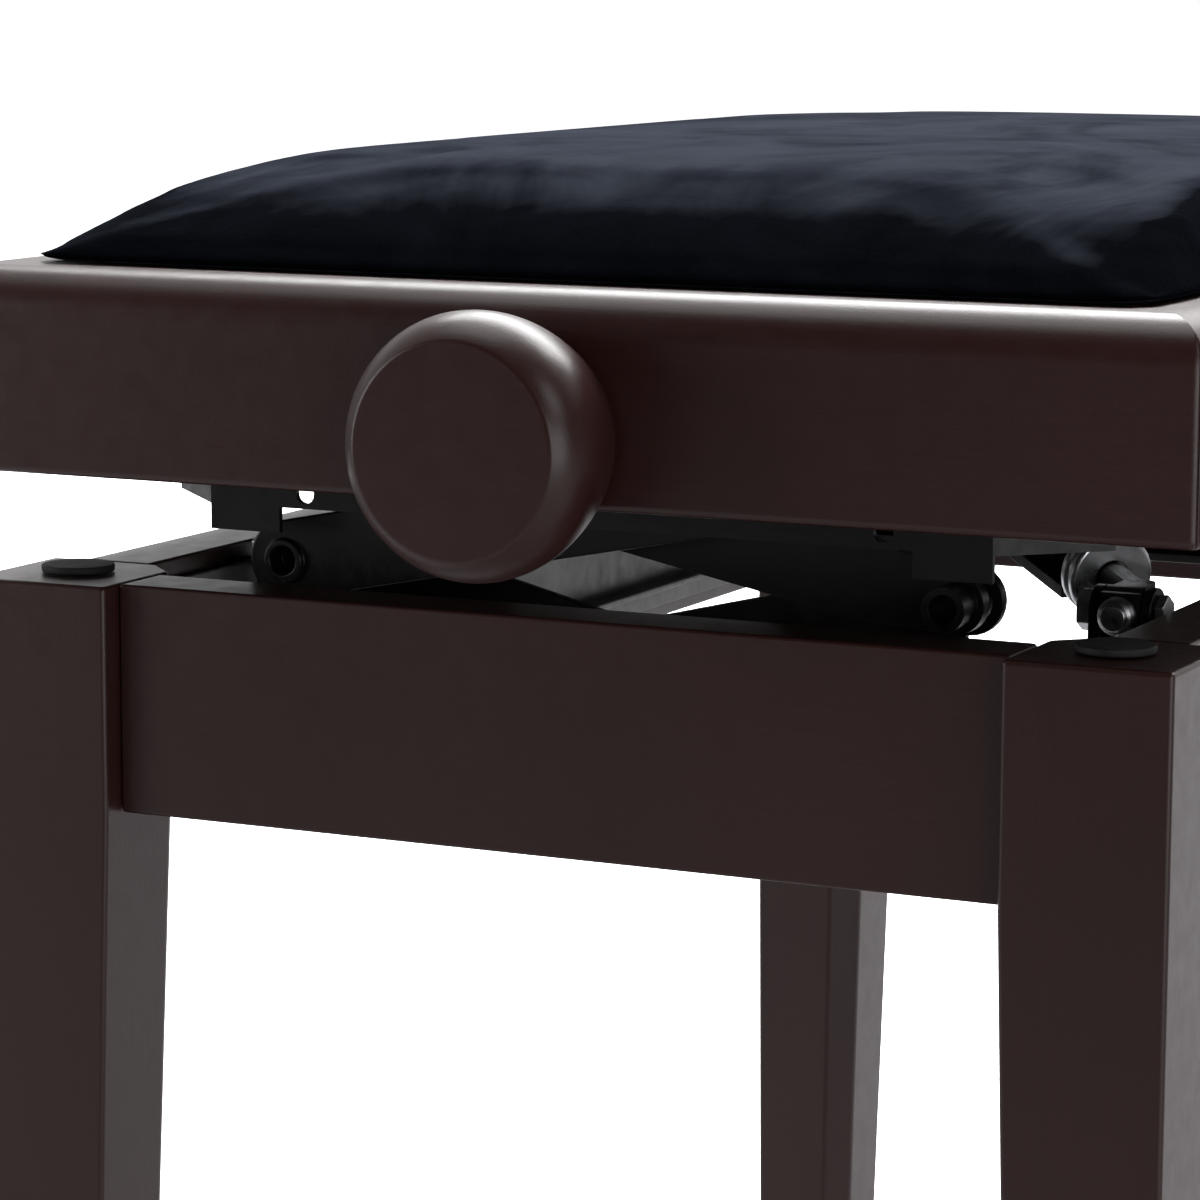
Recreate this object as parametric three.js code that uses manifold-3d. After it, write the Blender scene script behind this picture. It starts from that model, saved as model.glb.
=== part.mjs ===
// Height-adjustable piano bench: four tapered legs, a base of four aprons, a framed seat with a
// padded top, and between them a steel lift. Turning a knob at either end turns one screw, the
// screw draws a nut along the bench, a V-shaped lift fork swings up from the base, and two
// crossed swing frames at the ends keep the seat level.
//
// Millimetres. +X runs along the bench, +Y across it, +Z up. The origin is on the floor under
// the middle of the bench. The seat is drawn 20 mm above its lowest position.

import * as THREE from 'three';
import { mergeVertices } from 'three/addons/utils/BufferGeometryUtils.js';
import Module from 'manifold-3d';

const wasm = await Module();
wasm.setup();

// ---------------------------------------------------------------- driving dimensions

const GAP = 0.3;                       // clearance between pieces that touch
const HOLE_PLAY = 0.35;                // extra radius of a hole round its pin

const BASE_LENGTH = 535.4;             // over the legs
const BASE_WIDTH = 313.6;
const LEG_TOP = 390;                   // height of the leg tops
const LEG_SIDE = 40;                   // square section at the top
const LEG_TAPER = 0.0303;              // slope of the two inner faces below the aprons
const LEG_CHAMFER = 9;                 // flat on the inner vertical edge
const APRON_HEIGHT = 57.4;
const APRON_THICK = 19;
const END_APRON_SETBACK = 6.5;         // behind the outer leg faces
const SIDE_APRON_SETBACK = 9.2;
const TENON_LENGTH = 14;
const TENON_THICK = 8;
const TENON_HEIGHT = 38;
const GLIDE_THICK = 3.6;
const GLIDE_RADIUS = 12;
const BUMPER_RADIUS = 9.2;
const BUMPER_THICK = 1.9;

const SEAT_OVERHANG = 7.15;            // seat frame beyond the legs, all round
const SEAT_LENGTH = BASE_LENGTH + 2 * SEAT_OVERHANG;
const SEAT_WIDTH = BASE_WIDTH + 2 * SEAT_OVERHANG;
const SEAT_GAP = 27.9;                 // leg tops to the underside of the seat frame
const RAIL_HEIGHT = 50.2;
const RAIL_THICK = 24;
const RAIL_TOP_ROUND = 11;
const RAIL_EDGE_ROUND = 2;
const BOARD_THICK = 10;
const CUSHION_INSET = 13.3;            // from the outer face of the seat frame
const CUSHION_HEIGHT = 30;
const CUSHION_SHOULDER = 26;           // how far the rounded edge reaches in

const PIVOT_SPAN = 88.3;               // lower pivots, each side of the middle
const PIVOT_RISE = 3.7;                // above the leg tops
const ARM_REACH = 200;                 // lower pivot to upper shaft
const ARM_REST_ANGLE = THREE.MathUtils.degToRad(11.3);
const ARM_WIDTH = 20;
const ARM_THICK = 4;
const OUTER_ARM_FACE = 228;            // outer faces of the two arms at each end
const INNER_ARM_FACE = 221;
const FRONT_FOOT_RADIUS = 7;           // rounded lower ends of the arms
const BACK_FOOT_RADIUS = 10;
const BOSS_RADIUS = 5.4;
const BOSS_BORE = 3.6;                 // drilled into the outer end of the boss
const BOSS_BORE_DEPTH = 6;
const BOSS_FACE = 229.5;
const BOSS_INNER_END = 206;
const SHAFT_RADIUS = 4;
const SHAFT_HALF_LENGTH = 243;
const ARM_NOTCH_RADIUS = 14;           // room for the screw when the seat is low
const ARM_NOTCH_DEPTH = 5;

const LOWER_WEB_X = 209;               // inner face of the lower end angle
const UPPER_FLANGE_X = 236.5;          // inner face of the upper end angle
const SHEET = 3;                       // thickness of the steel angles
const UPPER_SHEET = 1.6;               // thickness of the upper end angle's web
const SLOT_INNER = 80;                 // ends of the slots for the upper shafts
const SLOT_OUTER = 117;

const SCREW_RISE = 43.9;               // screw axis above the leg tops
const SCREW_RADIUS = 5;
const SCREW_HALF_LENGTH = 298;
const KNOB_RADIUS = 31;
const KNOB_FACE_RADIUS = 25.6;
const KNOB_LENGTH = 30.7;
const ROSETTE_THICK = 1.6;
const ROSETTE_RADIUS = 22;
const BUSH_RADIUS = 8;

const FORK_PIVOT = { x: -176, y: 115.4, rise: -2.3 };
const FORK_ELBOW_X = -167.5;           // where the neck turns inwards by 45 degrees
const FORK_TIP = { x: -11, y: 17.5 };
const FORK_TIP_BACK = 12;              // the tip's eye and its end, past the pin's middle
const FORK_TIP_DEPTH = 12;             // height and thickness of the straight tips
const FORK_TIP_THICK = 4;
const FORK_WEB = { low: -8, high: 7, thick: 3 };  // angle section of the diagonals
const FORK_FOOT = { width: 11, thick: 3 };
const FORK_SLOT_REACH = 6.5;           // slot for the nut's pin, each way along the fork
const FORK_SLOT_PLAY = 1.4;
const NECK_RADIUS = 4;
const NECK_LENGTH = 24;                // from the elbow to the diagonal
const COLLAR_START = 14.5;             // from the elbow to the thrust washers
const COLLAR_RADIUS = 11;
const NUT_HALF = 11;
const TRUNNION_RADIUS = 3.5;
const TRUNNION_END = 22;

const HALF_L = BASE_LENGTH / 2;
const HALF_W = BASE_WIDTH / 2;
const SEAT_BOTTOM = LEG_TOP + SEAT_GAP;
const SEAT_TOP = SEAT_BOTTOM + RAIL_HEIGHT;
const SCREW_Z = LEG_TOP + SCREW_RISE;
const PIVOT_Z = LEG_TOP + PIVOT_RISE;
const SHAFT_Z = PIVOT_Z + ARM_REACH * Math.sin(ARM_REST_ANGLE);
const SHAFT_SPAN = ARM_REACH * Math.cos(ARM_REST_ANGLE) - PIVOT_SPAN;
const FORK_Z = LEG_TOP + FORK_PIVOT.rise;

// ---------------------------------------------------------------- materials

function finish(color, roughness, metalness) {
  return new THREE.MeshStandardMaterial({ color, roughness, metalness });
}

const LACQUERED_WOOD = finish('#2f2120', 0.38, 0);
const PLYWOOD = finish('#2c211c', 0.7, 0);
const VELVET = finish('#0b0d16', 0.95, 0);
const BLACK_STEEL = finish('#141415', 0.45, 0.2);
const GREY_STEEL = finish('#6e6c69', 0.5, 0.4);
const ZINC = finish('#b9bcbf', 0.3, 1);
const RUBBER = finish('#141212', 0.85, 0);

// ---------------------------------------------------------------- solid helpers

function solid(geometry) {
  const bare = geometry.index ? geometry.toNonIndexed() : geometry.clone();
  for (const name of Object.keys(bare.attributes)) {
    if (name !== 'position') bare.deleteAttribute(name);
  }
  const merged = mergeVertices(bare, 1e-4);
  return new wasm.Manifold(new wasm.Mesh({
    numProp: 3,
    vertProperties: new Float32Array(merged.attributes.position.array),
    triVerts: new Uint32Array(merged.index.array),
  }));
}

function surface(body) {
  const mesh = body.getMesh();
  const geometry = new THREE.BufferGeometry();
  geometry.setAttribute('position', new THREE.BufferAttribute(mesh.vertProperties, 3));
  geometry.setIndex(new THREE.BufferAttribute(mesh.triVerts, 1));
  return geometry;
}

function join(...bodies) {
  return bodies.reduce((sum, body) => sum.add(body));
}

function cut(body, ...tools) {
  return tools.reduce((rest, tool) => rest.subtract(tool), body);
}

// A block between two opposite corners, given as ranges.
function block([x0, x1], [y0, y1], [z0, z1]) {
  const geometry = new THREE.BoxGeometry(Math.abs(x1 - x0), Math.abs(y1 - y0), Math.abs(z1 - z0));
  geometry.translate((x0 + x1) / 2, (y0 + y1) / 2, (z0 + z1) / 2);
  return solid(geometry);
}

const AXIS_TURNS = {
  x: (geometry) => geometry.rotateZ(-Math.PI / 2),
  y: (geometry) => geometry,
  z: (geometry) => geometry.rotateX(Math.PI / 2),
};

// A round bar along an axis, centred on a point.
function rod(axis, radius, length, [x, y, z], sides = 18) {
  const geometry = AXIS_TURNS[axis](new THREE.CylinderGeometry(radius, radius, length, sides));
  return solid(geometry.translate(x, y, z));
}

// A turned piece: [radius, distance along the axis] pairs, from axis to axis or closed.
function turned(axis, profile, [x, y, z], sides = 28) {
  const points = profile.map(([radius, along]) => new THREE.Vector2(radius, along));
  const geometry = AXIS_TURNS[axis](new THREE.LatheGeometry(points, sides));
  return solid(geometry.translate(x, y, z));
}

function outline(points) {
  return new THREE.Shape(points.map(([a, b]) => new THREE.Vector2(a, b)));
}

function roundHole(shape, a, b, radius) {
  const path = new THREE.Path();
  path.absarc(a, b, radius, 0, 2 * Math.PI, true);
  shape.holes.push(path);
}

// A flat plate drawn in the YZ plane, from x0 to x1.
function plateAcross(shape, x0, x1, curveSegments = 8) {
  const geometry = new THREE.ExtrudeGeometry(shape, {
    depth: Math.abs(x1 - x0), bevelEnabled: false, curveSegments,
  });
  geometry.applyMatrix4(new THREE.Matrix4().set(
    0, 0, 1, Math.min(x0, x1),
    1, 0, 0, 0,
    0, 1, 0, 0,
    0, 0, 0, 1,
  ));
  return solid(geometry);
}

// A flat plate drawn in the XY plane, from z0 to z1.
function plateFlat(shape, z0, z1, curveSegments = 8) {
  const geometry = new THREE.ExtrudeGeometry(shape, {
    depth: z1 - z0, bevelEnabled: false, curveSegments,
  });
  return solid(geometry.translate(0, 0, z0));
}

const bench = new THREE.Group();

function place(name, body, material) {
  const mesh = new THREE.Mesh(surface(body), material);
  mesh.name = name;
  bench.add(mesh);
}

function mirrored(body, acrossX, acrossY) {
  return body.scale([acrossX, acrossY, 1]);
}

const ENDS = [['left', -1], ['right', 1]];
const SIDES = [['front', -1], ['back', 1]];

// ---------------------------------------------------------------- base: legs and aprons

const END_APRON_X = HALF_L - END_APRON_SETBACK - APRON_THICK / 2;
const SIDE_APRON_Y = HALF_W - SIDE_APRON_SETBACK - APRON_THICK / 2;
const TENON_Z = LEG_TOP - APRON_HEIGHT / 2;

function tenon(axis, play) {
  const reach = TENON_LENGTH + play;
  const half = TENON_THICK / 2 + play;
  const tall = [TENON_Z - TENON_HEIGHT / 2 - play, TENON_Z + TENON_HEIGHT / 2 + play];
  if (axis === 'x') {
    const inner = HALF_L - LEG_SIDE;
    return block([inner - 4, inner + reach], [SIDE_APRON_Y - half, SIDE_APRON_Y + half], tall);
  }
  const inner = HALF_W - LEG_SIDE;
  return block([END_APRON_X - half, END_APRON_X + half], [inner - 4, inner + reach], tall);
}

// Section of the leg at the +X +Y corner, with its inner edge chamfered.
function legSection(side) {
  const x0 = HALF_L - side;
  const y0 = HALF_W - side;
  return outline([
    [x0 + LEG_CHAMFER, y0], [HALF_L, y0], [HALF_L, HALF_W], [x0, HALF_W], [x0, y0 + LEG_CHAMFER],
  ]);
}

// The lower leg narrows from the apron down: each point keeps its share of the side.
function taperedLeg() {
  const top = LEG_TOP - APRON_HEIGHT;
  const length = top - GLIDE_THICK - GAP;
  const geometry = new THREE.ExtrudeGeometry(legSection(LEG_SIDE), {
    depth: length, bevelEnabled: false,
  });
  const position = geometry.attributes.position;
  const foot = (LEG_SIDE - LEG_TAPER * length) / LEG_SIDE;
  for (let i = 0; i < position.count; i += 1) {
    const share = position.getZ(i) > length / 2 ? 1 : foot;
    position.setX(i, HALF_L - (HALF_L - position.getX(i)) * share);
    position.setY(i, HALF_W - (HALF_W - position.getY(i)) * share);
  }
  return solid(geometry.translate(0, 0, top - length));
}

function leg() {
  const upper = plateFlat(legSection(LEG_SIDE), LEG_TOP - APRON_HEIGHT, LEG_TOP);
  const mortises = [tenon('x', GAP), tenon('y', GAP)];
  return cut(join(upper, taperedLeg()), ...mortises);
}

function endApron() {
  const half = HALF_W - LEG_SIDE - GAP;
  const x = [END_APRON_X - APRON_THICK / 2, END_APRON_X + APRON_THICK / 2];
  const board = block(x, [-half, half], [LEG_TOP - APRON_HEIGHT, LEG_TOP]);
  return join(board, tenon('y', 0), mirrored(tenon('y', 0), 1, -1));
}

function sideApron() {
  const half = HALF_L - LEG_SIDE - GAP;
  const y = [SIDE_APRON_Y - APRON_THICK / 2, SIDE_APRON_Y + APRON_THICK / 2];
  const board = block([-half, half], y, [LEG_TOP - APRON_HEIGHT, LEG_TOP]);
  return join(board, tenon('x', 0), mirrored(tenon('x', 0), -1, 1));
}

// Disc under the foot. It keeps to the middle of the tapered end.
function glide() {
  const foot = LEG_SIDE - LEG_TAPER * (LEG_TOP - APRON_HEIGHT);
  const profile = [[0, 0], [GLIDE_RADIUS - 1, 0], [GLIDE_RADIUS, 1], [GLIDE_RADIUS, GLIDE_THICK],
    [0, GLIDE_THICK]];
  return turned('y', profile, [0, 0, 0], 24)
    .rotate([90, 0, 0])
    .translate([HALF_L - foot / 2, HALF_W - foot / 2, 0]);
}

function bumper() {
  const edge = 0.5;
  const profile = [[0, 0], [BUMPER_RADIUS, 0], [BUMPER_RADIUS, BUMPER_THICK - edge],
    [BUMPER_RADIUS - edge, BUMPER_THICK], [0, BUMPER_THICK]];
  return turned('y', profile, [0, 0, 0], 24)
    .rotate([90, 0, 0])
    .translate([HALF_L - LEG_SIDE / 2, HALF_W - LEG_SIDE / 2, LEG_TOP + GAP]);
}

function buildBase() {
  for (const [end, sx] of ENDS) {
    for (const [side, sy] of SIDES) {
      place(`leg_${side}_${end}`, mirrored(leg(), sx, sy), LACQUERED_WOOD);
      place(`glide_${side}_${end}`, mirrored(glide(), sx, sy), RUBBER);
      place(`bumper_${side}_${end}`, mirrored(bumper(), sx, sy), RUBBER);
    }
    place(`apron_${end}`, mirrored(endApron(), sx, 1), LACQUERED_WOOD);
  }
  for (const [side, sy] of SIDES) {
    place(`apron_${side}`, mirrored(sideApron(), 1, sy), LACQUERED_WOOD);
  }
}

// ---------------------------------------------------------------- base: steel lower frame

const SIDE_RAIL_FACE = SIDE_APRON_Y - APRON_THICK / 2 - GAP;
const SIDE_RAIL_WEB = 2;
const SIDE_RAIL_TOP = LEG_TOP - 5;
const SIDE_RAIL_FOOT = LEG_TOP - 46;
const SIDE_RAIL_BOTTOM = LEG_TOP - 53;
const SIDE_RAIL_HALF = 226;

// Rolled rail on the inside of a side apron: a web with a narrow foot standing in from it.
function sideRail() {
  const web = block([-SIDE_RAIL_HALF, SIDE_RAIL_HALF],
    [SIDE_RAIL_FACE - SIDE_RAIL_WEB, SIDE_RAIL_FACE], [SIDE_RAIL_BOTTOM, SIDE_RAIL_TOP]);
  const foot = block([-SIDE_RAIL_HALF, SIDE_RAIL_HALF],
    [SIDE_RAIL_FACE - 9, SIDE_RAIL_FACE - 1], [SIDE_RAIL_FOOT, SIDE_RAIL_FOOT + 2]);
  return join(web, foot);
}

// End angle between the side rails. Its web rises at both sides into the round lugs that carry
// the swing arms, dips in the middle, and stays low outside the lugs.
const LUG_RADIUS = 8.6;
const LUG_INNER_HALF = 6;              // half width of the web's rise under a lug

function lowerEndAngle() {
  const half = SIDE_RAIL_FACE - SIDE_RAIL_WEB - GAP;
  const footTop = SIDE_RAIL_FOOT + 2 + GAP;
  const lugTop = PIVOT_Z + LUG_RADIUS;
  const dip = LEG_TOP - 6;
  const shoulder = LEG_TOP - 8;
  const low = LEG_TOP - 14;
  const right = [[half, footTop], [half, low], [PIVOT_SPAN + LUG_RADIUS, shoulder],
    [PIVOT_SPAN - 1, shoulder], [PIVOT_SPAN, lugTop], [PIVOT_SPAN - LUG_INNER_HALF, lugTop],
    [7, dip]];
  const left = right.map(([y, z]) => [-y, z]).reverse();
  const web = [plateAcross(outline([...right, ...left]), LOWER_WEB_X, LOWER_WEB_X + SHEET)];
  const holes = [];
  for (const [, sy] of SIDES) {
    const middle = [LOWER_WEB_X + SHEET / 2, sy * PIVOT_SPAN, PIVOT_Z];
    web.push(rod('x', LUG_RADIUS, SHEET, middle, 28));
    holes.push(rod('x', BOSS_RADIUS + HOLE_PLAY, 40, middle));
  }
  const flange = block([LOWER_WEB_X - 22, LOWER_WEB_X + 1], [-half, half],
    [footTop, footTop + SHEET]);
  return cut(join(...web, flange), ...holes);
}

// Clevis standing on a side rail: two ears joined by a floor, with a bolt hole along Y.
const EAR_INNER = [107.6, 110.2];
const EAR_OUTER = [120.6, 123.2];
const CLEVIS_HALF_X = 6.5;
const CLEVIS_DROP = 22;                // bolt to the underside of the floor
const CLEVIS_FLOOR = 3.5;
const BOLT_RADIUS = 3;
const BOLT_HEAD = { radius: 5.2, thick: 3.4 };
const BOLT_NUT = { radius: 5, thick: 2.4 };

function boltHole() {
  return rod('y', BOLT_RADIUS + HOLE_PLAY, 60, [FORK_PIVOT.x, FORK_PIVOT.y, FORK_Z]);
}

function anchorClevis() {
  const x = [FORK_PIVOT.x - CLEVIS_HALF_X, FORK_PIVOT.x + CLEVIS_HALF_X];
  const floor = [FORK_Z - CLEVIS_DROP, FORK_Z - CLEVIS_DROP + CLEVIS_FLOOR];
  const ears = [EAR_INNER, EAR_OUTER].map((y) => join(
    block(x, y, [floor[0], FORK_Z]),
    rod('y', CLEVIS_HALF_X, y[1] - y[0], [FORK_PIVOT.x, (y[0] + y[1]) / 2, FORK_Z], 24),
  ));
  const bed = block(x, [EAR_INNER[0], SIDE_RAIL_FACE - SIDE_RAIL_WEB - GAP], floor);
  return cut(join(...ears, bed), boltHole());
}

// Through bolt of the clevis: hexagon head at its inner end, hexagon nut at its outer end.
function anchorBolt() {
  const [inner, outer] = [EAR_INNER[0] - GAP, EAR_OUTER[1] + GAP];
  const along = (radius, from, to, sides) => (
    rod('y', radius, to - from, [FORK_PIVOT.x, (from + to) / 2, FORK_Z], sides)
  );
  return join(
    along(BOLT_RADIUS, inner - 1, outer + 1, 18),
    along(BOLT_HEAD.radius, inner - BOLT_HEAD.thick, inner, 6),
    along(BOLT_NUT.radius, outer, outer + BOLT_NUT.thick, 6),
  );
}

function buildLowerFrame() {
  for (const [side, sy] of SIDES) {
    place(`lower_rail_${side}`, mirrored(sideRail(), 1, sy), GREY_STEEL);
    place(`anchor_clevis_${side}`, mirrored(anchorClevis(), 1, sy), BLACK_STEEL);
    place(`anchor_bolt_${side}`, mirrored(anchorBolt(), 1, sy), ZINC);
  }
  for (const [end, sx] of ENDS) {
    place(`lower_angle_${end}`, mirrored(lowerEndAngle(), sx, 1), BLACK_STEEL);
  }
}

// ---------------------------------------------------------------- swing frames

// Flat arm drawn along +Y from its lower pivot at the origin, with a shallow notch on its upper
// edge under the screw. Its lower end narrows to the given radius.
function armShape(footRadius) {
  const half = ARM_WIDTH / 2;
  const taper = 2.5 * half;
  const middle = PIVOT_SPAN / Math.cos(ARM_REST_ANGLE);
  const lift = ARM_NOTCH_RADIUS - ARM_NOTCH_DEPTH;
  const spread = Math.sqrt(ARM_NOTCH_RADIUS ** 2 - lift ** 2);
  const edgeAngle = Math.atan2(-lift, spread);
  const shape = new THREE.Shape();
  shape.moveTo(0, -footRadius);
  shape.lineTo(taper, -half);
  shape.lineTo(ARM_REACH, -half);
  shape.absarc(ARM_REACH, 0, half, -Math.PI / 2, Math.PI / 2, false);
  shape.lineTo(middle + spread, half);
  shape.absarc(middle, half + lift, ARM_NOTCH_RADIUS, edgeAngle, -Math.PI - edgeAngle, true);
  shape.lineTo(taper, half);
  shape.lineTo(0, footRadius);
  shape.absarc(0, 0, footRadius, Math.PI / 2, 1.5 * Math.PI, false);
  roundHole(shape, ARM_REACH, 0, SHAFT_RADIUS + GAP);
  return shape;
}

// Arm at the +X end whose lower pivot is on the front side, with the boss that it turns on. The
// boss runs through the lug of the lower angle and is drilled at its outer end.
function swingArm(outerFace, footRadius) {
  const plate = plateAcross(armShape(footRadius), outerFace - ARM_THICK, outerFace)
    .rotate([THREE.MathUtils.radToDeg(ARM_REST_ANGLE), 0, 0])
    .translate([0, -PIVOT_SPAN, PIVOT_Z]);
  const middle = [(BOSS_FACE + BOSS_INNER_END) / 2, -PIVOT_SPAN, PIVOT_Z];
  const boss = rod('x', BOSS_RADIUS, BOSS_FACE - BOSS_INNER_END, middle, 24);
  const bore = rod('x', BOSS_BORE, 2 * BOSS_BORE_DEPTH, [BOSS_FACE, -PIVOT_SPAN, PIVOT_Z], 24);
  return cut(join(plate, boss), bore);
}

function upperShaft() {
  return rod('x', SHAFT_RADIUS, 2 * SHAFT_HALF_LENGTH, [0, SHAFT_SPAN, SHAFT_Z]);
}

// The front frame pivots at the front and lifts the back of the seat, and the back frame the
// other way about. The back frame's arms are the outer ones.
function buildSwingFrames() {
  const frames = [['front', 1, INNER_ARM_FACE, FRONT_FOOT_RADIUS],
    ['back', -1, OUTER_ARM_FACE, BACK_FOOT_RADIUS]];
  for (const [name, sy, face, foot] of frames) {
    for (const [end, sx] of ENDS) {
      place(`swing_arm_${name}_${end}`, mirrored(swingArm(face, foot), sx, sy), BLACK_STEEL);
    }
    place(`upper_shaft_${name}`, mirrored(upperShaft(), 1, sy), BLACK_STEEL);
  }
}

// ---------------------------------------------------------------- lift fork

const FORK_RISE = SCREW_Z - FORK_Z;

// Height of the fork's centre line over a point, from its clevis to its tip.
function forkHeight(x) {
  return FORK_Z + FORK_RISE * (x - FORK_PIVOT.x) / (FORK_TIP.x - FORK_PIVOT.x);
}

// One bar between two plan points, following the fork's slope. Its section is given as heights
// above the centre line and as distances to the right of it, looking along the bar.
function forkBar(from, to, [low, high], [left, right]) {
  const run = Math.hypot(to.x - from.x, to.y - from.y);
  const rise = forkHeight(to.x) - forkHeight(from.x);
  const shape = outline([[0, low], [run, rise + low], [run, rise + high], [0, high]]);
  const geometry = new THREE.ExtrudeGeometry(shape, {
    depth: right - left, bevelEnabled: false,
  });
  geometry.translate(0, 0, left);
  geometry.rotateX(Math.PI / 2);
  geometry.rotateZ(Math.atan2(to.y - from.y, to.x - from.x));
  geometry.translate(from.x, from.y, forkHeight(from.x));
  return solid(geometry);
}

// A point of the neck or the diagonal, seen from above, at a distance from the elbow. Both run
// inwards at 45 degrees.
function alongDiagonal(distance) {
  return {
    x: FORK_ELBOW_X + distance * Math.SQRT1_2,
    y: FORK_PIVOT.y - distance * Math.SQRT1_2,
  };
}

// Turns a piece made along +X so that it lies along the diagonal, at a distance from the elbow.
function onDiagonal(body, distance) {
  const start = alongDiagonal(distance);
  const climb = Math.atan2(FORK_RISE * Math.SQRT1_2, FORK_TIP.x - FORK_PIVOT.x);
  return body
    .rotate([0, -THREE.MathUtils.radToDeg(climb), 0])
    .rotate([0, 0, -45])
    .translate([start.x, start.y, forkHeight(start.x)]);
}

// Long hole for the nut's pin, along the fork's slope.
function forkSlot() {
  const radius = TRUNNION_RADIUS + FORK_SLOT_PLAY;
  const slope = Math.atan2(FORK_RISE, FORK_TIP.x - FORK_PIVOT.x);
  const ends = [-FORK_SLOT_REACH, FORK_SLOT_REACH].map((x) => rod('y', radius, 12, [x, 0, 0], 20));
  const middle = block([-FORK_SLOT_REACH, FORK_SLOT_REACH], [-6, 6], [-radius, radius]);
  return join(middle, ...ends)
    .rotate([0, -THREE.MathUtils.radToDeg(slope), 0])
    .translate([FORK_TIP.x, FORK_TIP.y, SCREW_Z]);
}

// Each side of the fork: a diagonal of angle section, and a straight flat tip with a long hole.
function forkArm() {
  const start = alongDiagonal(NECK_LENGTH + GAP);
  const bend = alongDiagonal((FORK_PIVOT.y - FORK_TIP.y) * Math.SQRT2);
  const overlap = alongDiagonal((FORK_PIVOT.y - FORK_TIP.y) * Math.SQRT2 + 2);
  const half = FORK_TIP_THICK / 2;
  const diagonal = join(
    forkBar(start, overlap, [FORK_WEB.low, FORK_WEB.high], [-half, FORK_WEB.thick - half]),
    forkBar(start, bend, [FORK_WEB.low, FORK_WEB.low + FORK_FOOT.thick],
      [-half, FORK_FOOT.width - half]),
  );
  const eyeAt = { x: FORK_TIP.x + FORK_TIP_BACK, y: FORK_TIP.y };
  const straight = forkBar({ x: bend.x - 1, y: FORK_TIP.y }, eyeAt,
    [-FORK_TIP_DEPTH / 2, FORK_TIP_DEPTH / 2], [-half, half]);
  const eye = rod('y', FORK_TIP_DEPTH * 0.75, FORK_TIP_THICK,
    [eyeAt.x, eyeAt.y, forkHeight(eyeAt.x)], 24);
  return cut(join(diagonal, straight, eye), forkSlot());
}

// Block between the ears of the clevis. From it a round neck leads back and turns inwards.
function pivotBlock() {
  const y = [EAR_INNER[1] + GAP, EAR_OUTER[0] - GAP];
  const half = NECK_RADIUS;
  const lift = forkHeight(FORK_ELBOW_X);
  const body = join(
    block([FORK_PIVOT.x - 6, FORK_PIVOT.x + 6], y, [FORK_Z - 5.5, FORK_Z + 5.5]),
    rod('y', CLEVIS_HALF_X, y[1] - y[0], [FORK_PIVOT.x, (y[0] + y[1]) / 2, FORK_Z], 24),
  );
  const stub = block([FORK_PIVOT.x, FORK_ELBOW_X], [FORK_PIVOT.y - half, FORK_PIVOT.y + half],
    [lift - half, lift + half]);
  const elbow = rod('z', half, 2 * half, [FORK_ELBOW_X, FORK_PIVOT.y, lift], 20);
  const neck = onDiagonal(rod('x', half, NECK_LENGTH, [NECK_LENGTH / 2, 0, 0], 20), 0);
  return cut(join(body, stub, elbow, neck), boltHole());
}

// Domed screw head on the outer face of the pivot block.
function pivotCap() {
  const profile = [[0, 0], [4.8, 0], [4.8, 1.6], [4.2, 3], [3.4, 3.3], [3.2, 4.6], [0, 4.8]];
  return turned('x', profile, [0, 0, 0], 20)
    .scale([-1, 1, 1])
    .translate([FORK_PIVOT.x - CLEVIS_HALF_X - GAP, FORK_PIVOT.y, FORK_Z]);
}

// Stack of two thrust washers round the neck, with a narrower one between them.
function thrustCollar() {
  const hole = NECK_RADIUS + GAP;
  const full = COLLAR_RADIUS;
  const profile = [[hole, 0], [full - 0.8, 0], [full, 0.7], [full, 2.2], [full - 1.1, 2.8],
    [full - 1.1, 4.2], [full, 4.8], [full, 6.4], [full - 0.8, 7], [hole, 7], [hole, 0]];
  return onDiagonal(turned('x', profile, [0, 0, 0], 30), COLLAR_START);
}

function buildLiftFork() {
  for (const [side, sy] of SIDES) {
    place(`fork_arm_${side}`, mirrored(forkArm(), 1, sy), BLACK_STEEL);
    place(`pivot_block_${side}`, mirrored(pivotBlock(), 1, sy), BLACK_STEEL);
    place(`pivot_cap_${side}`, mirrored(pivotCap(), 1, sy), ZINC);
    place(`thrust_collar_${side}`, mirrored(thrustCollar(), 1, sy), ZINC);
  }
}

// ---------------------------------------------------------------- screw, nut and knobs

// Nut on the screw, with a pin at each side for the fork.
function screwNut() {
  const body = block([FORK_TIP.x - NUT_HALF, FORK_TIP.x + NUT_HALF], [-13, 13],
    [SCREW_Z - 13, SCREW_Z + 13]);
  const pins = rod('y', TRUNNION_RADIUS, 2 * TRUNNION_END, [FORK_TIP.x, 0, SCREW_Z]);
  const bore = rod('x', SCREW_RADIUS + HOLE_PLAY, 60, [FORK_TIP.x, 0, SCREW_Z]);
  return cut(join(body, pins), bore);
}

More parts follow.
